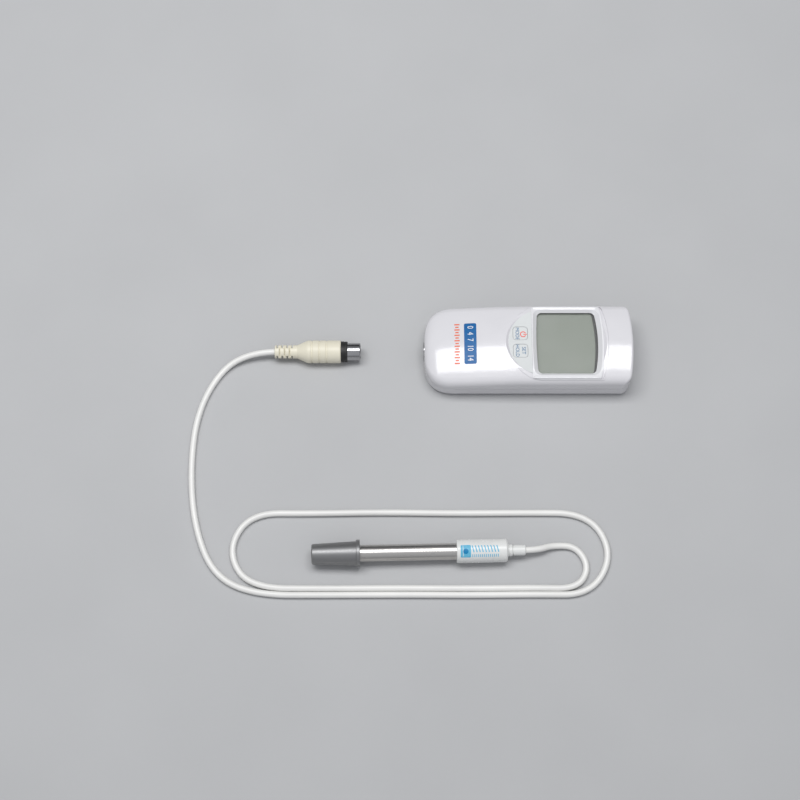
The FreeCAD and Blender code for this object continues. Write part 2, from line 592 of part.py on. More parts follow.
holes = [rod("pin_hole_%d" % i, ("-75", "%.6f" % y, "sheet.axis_high + %.6f" % z), "sheet.pin_hole", "6.6")
         for i, (y, z) in enumerate(ring_points(D("pin_ring")))]
blind = [rod("blind_hole_%d" % i, ("-69", "%.6f" % y, "sheet.axis_high + %.6f" % z), "0.62", "2")
         for i, (y, z) in enumerate(ring_points(D("pin_ring")))]
tails = [rod("tail_hole_%d" % i, ("-68", "%.6f" % y, "sheet.axis_high + %.6f" % z), "0.62", "7")
         for i, (y, z) in enumerate(ring_points(D("pin_ring")))]
keep(cut("socket_insert_cut", insert, joined("Part::MultiFuse", "insert_holes", holes + blind)), "socket_insert")
keep(cut("socket_base_cut", socket_back, joined("Part::MultiFuse", "base_holes", tails)), "socket_base")
contacts = [Part.makeCylinder(0.6, 7.2, V(-68.4, y, axis_z + z), V(1, 0, 0)) for y, z in ring_points(D("pin_ring"))]
keep(feature("contacts", Part.makeCompound(contacts)), "socket_contacts")

# ---------------------------------------------------------------------------
# Plug, lying in line with the socket
# ---------------------------------------------------------------------------
front_x = D("plug_front")
shell_x = front_x - D("plug_shell_len")
ring_x = shell_x - D("plug_ring_len")
grip_x = ring_x - D("plug_grip_len")
cone_x = grip_x - D("plug_cone_len")
tail_x = cone_x - D("relief_len")


def on_axis(x):
    return FreeCAD.Placement(V(x, 0, axis_z), along)


shell_len = "sheet.plug_shell_len"
bore = "(sheet.shell_radius - sheet.shell_wall)"
plug_shell = turned("plug_shell_blank", [
    ("0", bore), ("0", "sheet.shell_radius"), (shell_len + " - 0.4", "sheet.shell_radius"),
    (shell_len, "sheet.shell_radius - 0.3"), (shell_len, bore)], on_axis(shell_x))
key_slot = box("key_slot", ("%.4f - 5" % front_x, "-1.1", "sheet.axis_high - sheet.shell_radius - 1"),
               ("6", "2.2", "sheet.shell_wall + 1.2"))
keep(cut("plug_shell_cut", plug_shell, key_slot), "plug_shell")
base = turned("plug_base_blank", [
    ("0", "0"), ("0", bore + " - 0.02"), ("2.3", bore + " - 0.02"), ("2.3", "0")], on_axis(shell_x))
pin_seats = joined("Part::MultiFuse", "pin_seats", [
    rod("pin_seat_%d" % i, ("%.4f - 1" % shell_x, "%.6f" % y, "sheet.axis_high + %.6f" % z),
        "sheet.pin_radius + 0.01", "6") for i, (y, z) in enumerate(ring_points(D("pin_ring")))])
keep(cut("plug_base_cut", base, pin_seats), "plug_insulator")
pins = [Part.makeCylinder(D("pin_radius"), 7.6, V(shell_x + 0.2, y, axis_z + z), V(1, 0, 0))
        for y, z in ring_points(D("pin_ring"))]
keep(feature("pins", Part.makeCompound(pins)), "plug_pins")
keep(turned("plug_ring", [
    ("0", "0"), ("0", "sheet.plug_ring_radius"), ("sheet.plug_ring_len * 0.46", "sheet.plug_ring_radius"),
    ("sheet.plug_ring_len * 0.46", "sheet.plug_ring_radius - 0.5"),
    ("sheet.plug_ring_len * 0.54", "sheet.plug_ring_radius - 0.5"),
    ("sheet.plug_ring_len * 0.54", "sheet.plug_ring_radius - 0.15"),
    ("sheet.plug_ring_len - 0.5", "sheet.plug_ring_radius - 0.15"),
    ("sheet.plug_ring_len", "sheet.plug_ring_radius - 0.6"), ("sheet.plug_ring_len", "0")],
    on_axis(ring_x)), "plug_ring")

# moulded grip with three shallow grooves, then a cone and a slotted relief
x_cone = "sheet.relief_len"
x_grip = "(sheet.relief_len + sheet.plug_cone_len)"
x_end = "(sheet.relief_len + sheet.plug_cone_len + sheet.plug_grip_len)"
grip_r = "sheet.plug_grip_radius"
grip_profile = [("0", "0"), ("0", "sheet.relief_radius - 0.5"), ("0.5", "sheet.relief_radius"),
                (x_cone, "sheet.relief_radius"), (x_grip + " - 0.8", grip_r + " - 0.5"),
                (x_grip + " + 0.6", grip_r)]
for start in (2.9, 8.4, 13.9):
    grip_profile += [(x_grip + " + %.1f" % start, grip_r), (x_grip + " + %.1f" % (start + 0.25), grip_r + " - 0.45"),
                     (x_grip + " + %.1f" % (start + 1.0), grip_r + " - 0.45"),
                     (x_grip + " + %.1f" % (start + 1.25), grip_r)]
grip_profile += [(x_end + " - 0.6", grip_r), (x_end, grip_r + " - 0.5"), (x_end, "0")]
moulding = turned("plug_moulding_blank", grip_profile, on_axis(tail_x))
slots = []


def relief_slot(offset, angle):
    """A slot across the relief, offset from the tail, on the side that angle points to, about the axis."""
    wide = D("relief_slot")
    blade = Part.makeBox(wide, 9.0, 4.0, V(-wide / 2, -4.5, D("relief_core")))
    blade.Placement = on_axis(tail_x + offset).multiply(
        FreeCAD.Placement(V(0, 0, 0), FreeCAD.Rotation(V(1, 0, 0), angle)))
    slots.append(feature("relief_slot_%d" % len(slots), blade))


for i in range(4):
    beside = D("relief_first") + (i - 0.5) * D("relief_pitch")
    relief_slot(beside, D("relief_turn") + 90.0)
    relief_slot(beside, D("relief_turn") - 90.0)
    if i < 3:
        across = D("relief_first") + i * D("relief_pitch")
        relief_slot(across, D("relief_turn"))
        relief_slot(across, D("relief_turn") + 180.0)
relief_slots = joined("Part::MultiFuse", "relief_slots", slots)
keep(cut("plug_moulding_cut", moulding, relief_slots), "plug_grip")

# ---------------------------------------------------------------------------
# Electrode: everything shares one tilted axis, because it rests on the cap's
# flange at one end and on the handle at the other.
# ---------------------------------------------------------------------------
half_handle = (D("handle_right") - D("handle_left")) / 2
turn = FreeCAD.Rotation(V(0, 0, 1), D("electrode_turn"))
pivot = V(D("handle_right") - half_handle, D("electrode_y"), D("handle_radius"))
pivot = pivot + turn.multVec(V(half_handle, 0, 0))
flange_mid = D("cap_mouth") - D("flange_thick") / 2
tilt = math.asin((D("flange_radius") - D("handle_radius")) / (D("handle_right") - flange_mid))
lean = turn.multiply(FreeCAD.Rotation(V(0, 1, 0), math.degrees(tilt)))


def on_probe(x):
    """Placement for a piece whose local origin is at x along the electrode."""
    return FreeCAD.Placement(pivot + lean.multVec(V(x - D("handle_right"), 0, 0)), lean)


cap_len = "(sheet.cap_mouth - sheet.cap_end)"
body_len = "(sheet.cap_mouth - sheet.cap_end - sheet.flange_thick)"
keep(turned("protective_cap", [
    ("0", "0"), ("0", "sheet.cap_end_radius - 0.7"), ("0.7", "sheet.cap_end_radius"),
    (body_len, "sheet.cap_mouth_radius"), (body_len, "sheet.flange_radius - 0.3"),
    (body_len + " + 0.3", "sheet.flange_radius"), (cap_len + " - 0.3", "sheet.flange_radius"),
    (cap_len, "sheet.flange_radius - 0.3"), (cap_len, "sheet.cap_bore + 0.4"), (body_len, "sheet.cap_bore"),
    ("1.8", "sheet.cap_bore - 0.5"), ("1.3", "sheet.cap_bore - 1.0"), ("1.3", "0")],
    on_probe(D("cap_end"))), "protective_cap")
tube_len = "(sheet.handle_left + 3.0 - sheet.tip_x)"
tube = turned("tube_blank", [
    ("0", "sheet.tube_radius - sheet.tube_wall"), ("0", "sheet.tube_radius"), (tube_len, "sheet.tube_radius"),
    (tube_len, "sheet.tube_radius - sheet.tube_wall")], on_probe(D("tip_x")))
guard = []
for number, angle in enumerate((0, 60, 120)):
    slot = feature("guard_%d" % number, Part.makeBox(5.5, 3.2, 20, V(-0.5, -1.6, -10)))
    slot.Placement = on_probe(D("tip_x")).multiply(
        FreeCAD.Placement(V(0, 0, 0), FreeCAD.Rotation(V(1, 0, 0), angle)))
    guard.append(slot)
keep(cut("tube_cut", tube, joined("Part::MultiFuse", "guard_slots", guard)), "electrode_tube")
keep(turned("sensing_glass", [
    ("0", "0"), ("0.25", "1.5"), ("0.9", "2.6"), ("2.0", "3.3"), ("3.2", "3.3"), ("4.3", "2.7"), ("5.2", "2.45"),
    ("72", "2.45"), ("72", "0")], on_probe(-149.4)), "sensing_glass")
keep(turned("reference_junction", [
    ("0", "2.5"), ("0", "5.45"), ("3.2", "5.45"), ("3.2", "2.5")], on_probe(-143.6)), "reference_junction")


def in_probe(x, y, z, shape):
    shape.Placement = on_probe(x).multiply(FreeCAD.Placement(V(0, y, z), FreeCAD.Rotation()))
    return shape


keep(feature("ntc", in_probe(-139.5, 0, 4.0, Part.makeCylinder(1.2, 7, V(0, 0, 0), V(1, 0, 0))), None),
     "temperature_sensor")
keep(feature("ag_wire", in_probe(-140.0, 0, -4.0, Part.makeCylinder(0.35, 78, V(0, 0, 0), V(1, 0, 0))), None),
     "reference_wire")
keep(turned("electrode_handle", [
    ("0", "sheet.tube_radius + 0.02"), ("0", "sheet.handle_radius - 0.35"), ("0.35", "sheet.handle_radius"),
    ("sheet.handle_right - sheet.handle_left - 0.9", "sheet.handle_radius"),
    ("sheet.handle_right - sheet.handle_left", "sheet.handle_radius - 0.9"),
    ("sheet.handle_right - sheet.handle_left", "0"),
    ("sheet.handle_right - sheet.handle_left - 2.4", "0"),
    ("sheet.handle_right - sheet.handle_left - 2.4", "6.6"), ("3.2", "6.6"), ("3.2", "sheet.tube_radius + 0.02")],
    on_probe(D("handle_left"))), "electrode_handle")
keep(turned("handle_label", [
    ("0", "sheet.handle_radius + 0.01"), ("0", "sheet.handle_radius + sheet.label_thick"),
    ("22", "sheet.handle_radius + sheet.label_thick"), ("22", "sheet.handle_radius + 0.01")],
    on_probe(-50.5)), "handle_label")
keep(feature("preamp", in_probe(-49.0, 0, 0, Part.makeBox(25, 9.4, 1.2, V(0, -4.7, -0.6))
             .fuse(Part.makeBox(5, 4, 1.6, V(6, -2, 0.6)))), None), "amplifier_board")
keep(turned("electrode_strain_relief", [
    ("0", "0"), ("0", "sheet.collar_radius"), ("3.3", "sheet.collar_radius"), ("3.6", "sheet.collar_radius - 0.3"),
    ("3.6", "3.3"), ("4.4", "3.3"), ("4.4", "sheet.sleeve_radius"),
    ("sheet.sleeve_end - sheet.handle_right - 0.5", "sheet.sleeve_radius"),
    ("sheet.sleeve_end - sheet.handle_right", "sheet.sleeve_radius - 0.5"),
    ("sheet.sleeve_end - sheet.handle_right", "0")], on_probe(D("handle_right"))), "electrode_strain_relief")

# ---------------------------------------------------------------------------
# Cable: a round tube along straight runs joined by tangent arcs.
# ---------------------------------------------------------------------------
r_cable = D("cable_dia") / 2
sleeve_tip = on_probe(D("sleeve_end")).Base
near = 4.75                     # distance between the two strands that lie side by side
strand = [(2.0, -179.0), (-42.0, -179.5), (-96.0, -179.2), (-146.0, -179.5)]
route = [(sleeve_tip.x, sleeve_tip.y, sleeve_tip.z), (4.9, -152.2, 7.7), (13.6, -148.2, 3.5),
         (31.8, -148.2, r_cable), (40.9, -163.9, r_cable), (31.8, -179.5, r_cable)]
route += [(x, y, r_cable) for x, y in strand]
route += [(-203.6, -179.3, r_cable), (-219.8, -151.4, r_cable), (-203.6, -123.5, r_cable),
          (-160.0, -123.9, r_cable), (-108.0, -122.9, r_cable), (-55.0, -123.7, r_cable),
          (-8.0, -123.3, r_cable), (41.4, -123.5, r_cable), (58.6, -153.8, r_cable), (41.4, -184.1, r_cable)]
route += [(x, y - near, r_cable) for x, y in strand]
route += [(-199.0, -184.2, r_cable), (-229.0, -170.0, r_cable), (-244.0, -134.0, r_cable),
          (-249.0, -90.0, r_cable), (-245.6, -45.0, r_cable), (-228.0, -10.5, r_cable),
          (-204.5, 0.0, 7.6), (tail_x, 0.0, axis_z)]


def cable_path(points):
    """Straight runs with an arc at each inner point; returns wire, length, radii."""
    pts = [V(*p) for p in points]
    edges = []
    radii = []
    last = pts[0]
    for i in range(1, len(pts) - 1):
        a = pts[i - 1] - pts[i]
        b = pts[i + 1] - pts[i]
        turn = math.pi - a.getAngle(b)
        short = min(a.Length, b.Length)
        setback = 0.45 * short
        radius = setback / math.tan(turn / 2)
        start = pts[i] + a.normalize() * setback
        end = pts[i] + b.normalize() * setback
        bisect = (a + b).normalize()
        centre = pts[i] + bisect * (radius / math.cos(turn / 2))
        middle = centre - bisect * radius
        edges.append(Part.LineSegment(last, start).toShape())
        edges.append(Part.Arc(start, middle, end).toShape())
        radii.append(radius)
        last = end
    edges.append(Part.LineSegment(last, pts[-1]).toShape())
    wire = Part.Wire(edges)
    return wire, wire.Length, radii


path, cable_len, radii = cable_path(route)
print("cable length %.1f mm" % cable_len, "starts at", sleeve_tip)
print("cap slides along", lean.multVec(V(-1, 0, 0)))
print("bend radii", " ".join("%.0f" % r for r in radii))
first = path.Edges[0]
ring = Part.Wire([Part.makeCircle(r_cable, first.valueAt(first.FirstParameter),
                                  first.tangentAt(first.FirstParameter))])
cable = path.makePipeShell([ring], True, False)
print("cable volume ratio %.4f" % (cable.Volume / (math.pi * r_cable ** 2 * cable_len)))
keep(feature("lead", cable), "cable")

# ---------------------------------------------------------------------------
# Check and write
# ---------------------------------------------------------------------------
doc.recompute()
for obj in doc.Objects:
    if "Invalid" in obj.State or "Error" in obj.State:
        raise RuntimeError("%s is in state %s" % (obj.Name, obj.State))
total = 0
for obj in FINAL:
    shape = obj.Shape
    if shape.isNull() or not shape.isValid():
        raise RuntimeError("%s has a bad shape" % obj.Label)
    shape.exportStep("parts/%s.step" % obj.Label)
    total += 1
    bb = shape.BoundBox
    print("%-24s solids %d vol %9.1f  x %7.1f %7.1f  y %7.1f %7.1f  z %6.2f %6.2f" % (
        obj.Label, len(shape.Solids), shape.Volume, bb.XMin, bb.XMax, bb.YMin, bb.YMax, bb.ZMin, bb.ZMax))
print(total, "parts")
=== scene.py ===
"""Looks of a pocket pH meter with its electrode on a loose lead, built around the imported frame.

Sizes and places are in millimetres, except the camera's, the floor's, the light's and the
materials' own, which are in metres.
"""

import json
import math

import bmesh
import bpy
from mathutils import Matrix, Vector
from mathutils.bvhtree import BVHTree


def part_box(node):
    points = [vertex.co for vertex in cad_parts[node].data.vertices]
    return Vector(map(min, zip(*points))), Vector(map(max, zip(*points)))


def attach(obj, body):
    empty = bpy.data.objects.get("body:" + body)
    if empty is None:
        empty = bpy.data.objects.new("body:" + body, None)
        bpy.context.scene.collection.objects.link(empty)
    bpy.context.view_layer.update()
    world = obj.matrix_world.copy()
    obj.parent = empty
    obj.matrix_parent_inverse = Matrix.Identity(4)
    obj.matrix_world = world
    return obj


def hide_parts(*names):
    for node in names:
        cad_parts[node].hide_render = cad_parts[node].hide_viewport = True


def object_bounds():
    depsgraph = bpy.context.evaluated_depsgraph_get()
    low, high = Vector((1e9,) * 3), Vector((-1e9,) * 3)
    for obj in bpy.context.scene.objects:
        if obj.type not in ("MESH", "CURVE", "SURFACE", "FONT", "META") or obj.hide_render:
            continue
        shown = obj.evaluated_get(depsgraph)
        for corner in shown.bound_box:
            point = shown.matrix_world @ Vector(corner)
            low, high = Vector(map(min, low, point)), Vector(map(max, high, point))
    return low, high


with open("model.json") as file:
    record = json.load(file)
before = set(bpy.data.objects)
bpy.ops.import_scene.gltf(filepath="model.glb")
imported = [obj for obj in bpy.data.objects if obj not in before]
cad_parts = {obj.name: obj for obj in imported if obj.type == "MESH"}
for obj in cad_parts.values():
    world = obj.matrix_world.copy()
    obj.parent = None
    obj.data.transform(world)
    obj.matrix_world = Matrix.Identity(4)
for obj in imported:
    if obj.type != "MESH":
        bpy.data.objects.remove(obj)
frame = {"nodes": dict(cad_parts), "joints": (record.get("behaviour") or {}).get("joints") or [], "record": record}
nodes = frame["nodes"]
cad_box = [list(corner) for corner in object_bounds()]
scene = bpy.context.scene
MM = 0.001


def mm(*values):
    """A vector from millimetres."""
    return Vector(values) * MM


# ---------------------------------------------------------------------------
# Camera
# ---------------------------------------------------------------------------
CAMERA_PLACE = (-0.09511, -0.45630, 1.15675)
CAMERA_TILT = 20.0              # degrees back from looking straight down
CAMERA_LENS = 74.25
SENSOR_WIDTH = 36.0


def make_camera():
    data = bpy.data.cameras.new("camera")
    data.lens = CAMERA_LENS
    data.sensor_width = SENSOR_WIDTH
    camera = bpy.data.objects.new("camera", data)
    camera.location = CAMERA_PLACE
    camera.rotation_euler = (math.radians(CAMERA_TILT), 0.0, 0.0)
    scene.collection.objects.link(camera)
    scene.camera = camera


# ---------------------------------------------------------------------------
# Cord: the electrode's lead, lying on the table from its sleeve to the plug
# ---------------------------------------------------------------------------
CORD_DIAMETER = 4.6
LIE = CORD_DIAMETER / 2         # height of the centreline where the lead lies on the table
BESIDE = 4.75                   # distance between the two strands that lie side by side
LONG_RUN = [(2.0, -179.0), (-42.0, -179.5), (-96.0, -179.2), (-146.0, -179.5)]
ROUTE = [(-5.111, -152.734, 8.166), (4.9, -152.2, 7.7), (13.6, -148.2, 3.5),
         (31.8, -148.2, LIE), (40.9, -163.9, LIE), (31.8, -179.5, LIE)]
ROUTE += [(x, y, LIE) for x, y in LONG_RUN]
ROUTE += [(-203.6, -179.3, LIE), (-219.8, -151.4, LIE), (-203.6, -123.5, LIE),
          (-160.0, -123.9, LIE), (-108.0, -122.9, LIE), (-55.0, -123.7, LIE),
          (-8.0, -123.3, LIE), (41.4, -123.5, LIE), (58.6, -153.8, LIE), (41.4, -184.1, LIE)]
ROUTE += [(x, y - BESIDE, LIE) for x, y in LONG_RUN]
ROUTE += [(-199.0, -184.2, LIE), (-229.0, -170.0, LIE), (-244.0, -134.0, LIE),
          (-249.0, -90.0, LIE), (-245.6, -45.0, LIE), (-228.0, -10.5, LIE),
          (-204.5, 0.0, 7.6), (-188.7, 0.0, 8.5)]


def make_cord(material):
    curve = bpy.data.curves.new("lead", "CURVE")
    curve.dimensions = "3D"
    curve.resolution_u = 16
    curve.bevel_depth = LIE * MM
    curve.bevel_resolution = 6
    curve.use_fill_caps = True
    spline = curve.splines.new("NURBS")
    spline.points.add(len(ROUTE) - 1)
    for point, place in zip(spline.points, ROUTE):
        point.co = (*mm(*place), 1.0)
    spline.order_u = 3
    spline.use_endpoint_u = True
    curve.materials.append(material)
    lead = bpy.data.objects.new("lead", curve)
    scene.collection.objects.link(lead)
    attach(lead, "probe_lead")
    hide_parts("cable")


# ---------------------------------------------------------------------------
# Stage: floor and studio light
# ---------------------------------------------------------------------------
FLOOR_HALF = 3.0
FLOOR_GAP = 0.00002             # keeps the floor's face clear of the faces that rest on it
SOFTBOX_PLACE = (-0.25, 0.22, 1.6)
SOFTBOX_SIZE = (1.50, 0.60)
SOFTBOX_POWER = 20.0
SKY_UP = (0.0, -0.34, 0.94)     # direction of the sky's brightest part
SKY_DARK = (0.10, (0.08, 0.082, 0.086))     # where on the way up, and the colour
SKY_LIGHT = (0.80, (0.55, 0.56, 0.585))


def make_floor():
    half = FLOOR_HALF
    level = cad_box[0][2] - FLOOR_GAP
    corners = [(x * half, y * half, level) for x, y in ((-1, -1), (1, -1), (1, 1), (-1, 1))]
    mesh = bpy.data.meshes.new("floor")
    mesh.from_pydata(corners, [], [(0, 1, 2, 3)])
    floor = bpy.data.objects.new("floor", mesh)
    scene.collection.objects.link(floor)
    mesh.materials.append(plastic("floor_paper", (0.47, 0.474, 0.48), (0.49, 0.494, 0.50), 0.85,
                                  spot=9))


def make_softbox():
    """A wide soft light that looks straight down."""
    data = bpy.data.lights.new("softbox", "AREA")
    data.shape = "RECTANGLE"
    data.size, data.size_y = SOFTBOX_SIZE
    data.energy = SOFTBOX_POWER
    light = bpy.data.objects.new("softbox", data)
    light.location = SOFTBOX_PLACE
    scene.collection.objects.link(light)


def make_sky():
    """Dim light from all round, brightest overhead and darkest low down behind the object."""
    world = bpy.data.worlds.new("studio")
    world.use_nodes = True
    tree = world.node_tree
    height = tree.nodes.new("ShaderNodeVectorMath")
    height.operation = "DOT_PRODUCT"
    height.inputs[1].default_value = SKY_UP
    tree.links.new(tree.nodes.new("ShaderNodeTexCoord").outputs["Generated"], height.inputs[0])
    ramp = tree.nodes.new("ShaderNodeValToRGB")
    for stop, (position, colour) in zip(ramp.color_ramp.elements, (SKY_DARK, SKY_LIGHT)):
        stop.position = position
        stop.color = (*colour, 1.0)
    tree.links.new(height.outputs["Value"], ramp.inputs["Fac"])
    tree.links.new(ramp.outputs["Color"], tree.nodes["Background"].inputs["Color"])
    scene.world = world
    scene.view_settings.view_transform = "Standard"


# ---------------------------------------------------------------------------
# Materials
# ---------------------------------------------------------------------------
class Shader:
    """A node material under construction. Texture scales are in features per metre."""

    def __init__(self, name):
        self.material = bpy.data.materials.new(name)
        self.material.use_nodes = True
        self.tree = self.material.node_tree
        self.bsdf = self.tree.nodes["Principled BSDF"]
        self.where = self.node("ShaderNodeTexCoord").outputs["Object"]

    def node(self, kind, **inputs):
        made = self.tree.nodes.new(kind)
        for name, value in inputs.items():
            made.inputs[name.replace("_", " ")].default_value = value
        return made

    def link(self, source, target):
        self.tree.links.new(source, target)

    def stretched(self, stretch):
        mapping = self.node("ShaderNodeMapping")
        mapping.inputs["Scale"].default_value = stretch
        self.link(self.where, mapping.inputs["Vector"])
        return mapping.outputs["Vector"]

    def noise(self, scale, detail=3.0, stretch=None):
        made = self.node("ShaderNodeTexNoise", Scale=scale, Detail=detail)
        self.link(self.stretched(stretch) if stretch else self.where, made.inputs["Vector"])
        return made.outputs["Fac"]

    def spread(self, value, low, high, start=0.3, end=0.7):
        made = self.node("ShaderNodeMapRange",
                         From_Min=start, From_Max=end, To_Min=low, To_Max=high)
        self.link(value, made.inputs["Value"])
        return made.outputs["Result"]

    def blend(self, value, dark, light, start=0.3, end=0.7):
        ramp = self.tree.nodes.new("ShaderNodeValToRGB")
        for stop, position, colour in zip(ramp.color_ramp.elements, (start, end), (dark, light)):
            stop.position = position
            stop.color = (*colour, 1.0)
        self.link(value, ramp.inputs["Fac"])
        return ramp.outputs["Color"]

    def colour(self, value):
        self.link(value, self.bsdf.inputs["Base Color"])

    def rough(self, value):
        self.link(value, self.bsdf.inputs["Roughness"])

    def bump(self, value, depth):
        made = self.node("ShaderNodeBump", Strength=1.0, Distance=depth)
        self.link(value, made.inputs["Height"])
        self.link(made.outputs["Normal"], self.bsdf.inputs["Normal"])

    def plain(self, **values):
        for name, value in values.items():
            self.bsdf.inputs[name.replace("_", " ")].default_value = value


def plastic(name, dark, light, rough, spot=60, grain=900, depth=0.00001, coat=0.0, spread=0.05,
            **plain):
    """Moulded plastic, rubber or paint: soft mottling, uneven gloss and a fine surface grain."""
    made = Shader(name)
    made.colour(made.blend(made.noise(spot, 4.0), dark, light))
    made.rough(made.spread(made.noise(grain / 3, 3.0), rough - spread, rough + spread))
    made.bump(made.noise(grain, 2.0), depth)
    made.plain(Coat_Weight=coat, Coat_Roughness=0.06, **plain)
    return made.material


def metal(name, dark, light, rough, stretch=(1.0, 1.0, 1.0), grain=900, depth=0.000006,
          spread=0.05):
    """Bare or plated metal, its lines running the way the stretch is smallest."""
    made = Shader(name)
    made.colour(made.blend(made.noise(70, 4.0, stretch), dark, light))
    made.rough(made.spread(made.noise(grain / 2, 4.0, stretch), rough - spread, rough + spread))
    made.bump(made.noise(grain, 3.0, stretch), depth)
    made.plain(Metallic=1.0)
    return made.material


def clear(name, colour, rough, alpha, grain=1500, coat=0.0, shine=0.0):
    """Clear or translucent plastic or glass. Shine adds a part of metal's broad reflections."""
    made = Shader(name)
    made.colour(made.blend(made.noise(40, 3.0), tuple(0.94 * c for c in colour), colour))
    made.rough(made.spread(made.noise(grain / 2, 3.0), rough - 0.03, rough + 0.03))
    made.bump(made.noise(grain, 2.0), 0.000004)
    made.plain(Alpha=alpha, IOR=1.49, Metallic=shine, Coat_Weight=coat, Coat_Roughness=rough)
    made.material.surface_render_method = "DITHERED"
    return made.material


def display_glass(name):
    """The reflective display: a grey-green field, unevenly lit through its film."""
    made = Shader(name)
    made.colour(made.blend(made.noise(28, 2.0), (0.222, 0.250, 0.208), (0.256, 0.281, 0.243)))
    made.rough(made.spread(made.noise(900, 2.0), 0.32, 0.42))
    made.bump(made.noise(2600, 2.0), 0.000003)
    return made.material


def board(name):
    """Solder mask over copper tracks."""
    made = Shader(name)
    tracks = made.node("ShaderNodeTexBrick", Scale=260.0, Mortar_Size=0.12, Bias=0.0)
    made.link(made.where, tracks.inputs["Vector"])
    made.colour(made.blend(tracks.outputs["Fac"], (0.012, 0.115, 0.045), (0.035, 0.21, 0.085)))
    made.rough(made.spread(made.noise(400), 0.30, 0.42))
    made.bump(tracks.outputs["Fac"], 0.00002)
    return made.material


SLEEVE_BAND = (-0.0100, -0.0098)        # where the band's colour starts along a cell


def cell_sleeve(name):
    """A printed sleeve on a dry cell: dark body, a pale band towards its positive end."""
    made = Shader(name)
    apart = made.node("ShaderNodeSeparateXYZ")
    made.link(made.where, apart.inputs["Vector"])
    band = made.spread(apart.outputs["X"], 0.0, 1.0, *SLEEVE_BAND)
    made.colour(made.blend(band, (0.018, 0.020, 0.026), (0.50, 0.34, 0.10), 0.45, 0.55))
    made.rough(made.spread(made.noise(300), 0.22, 0.34))
    made.bump(made.noise(1500), 0.000006)
    made.plain(Metallic=0.3)
    return made.material


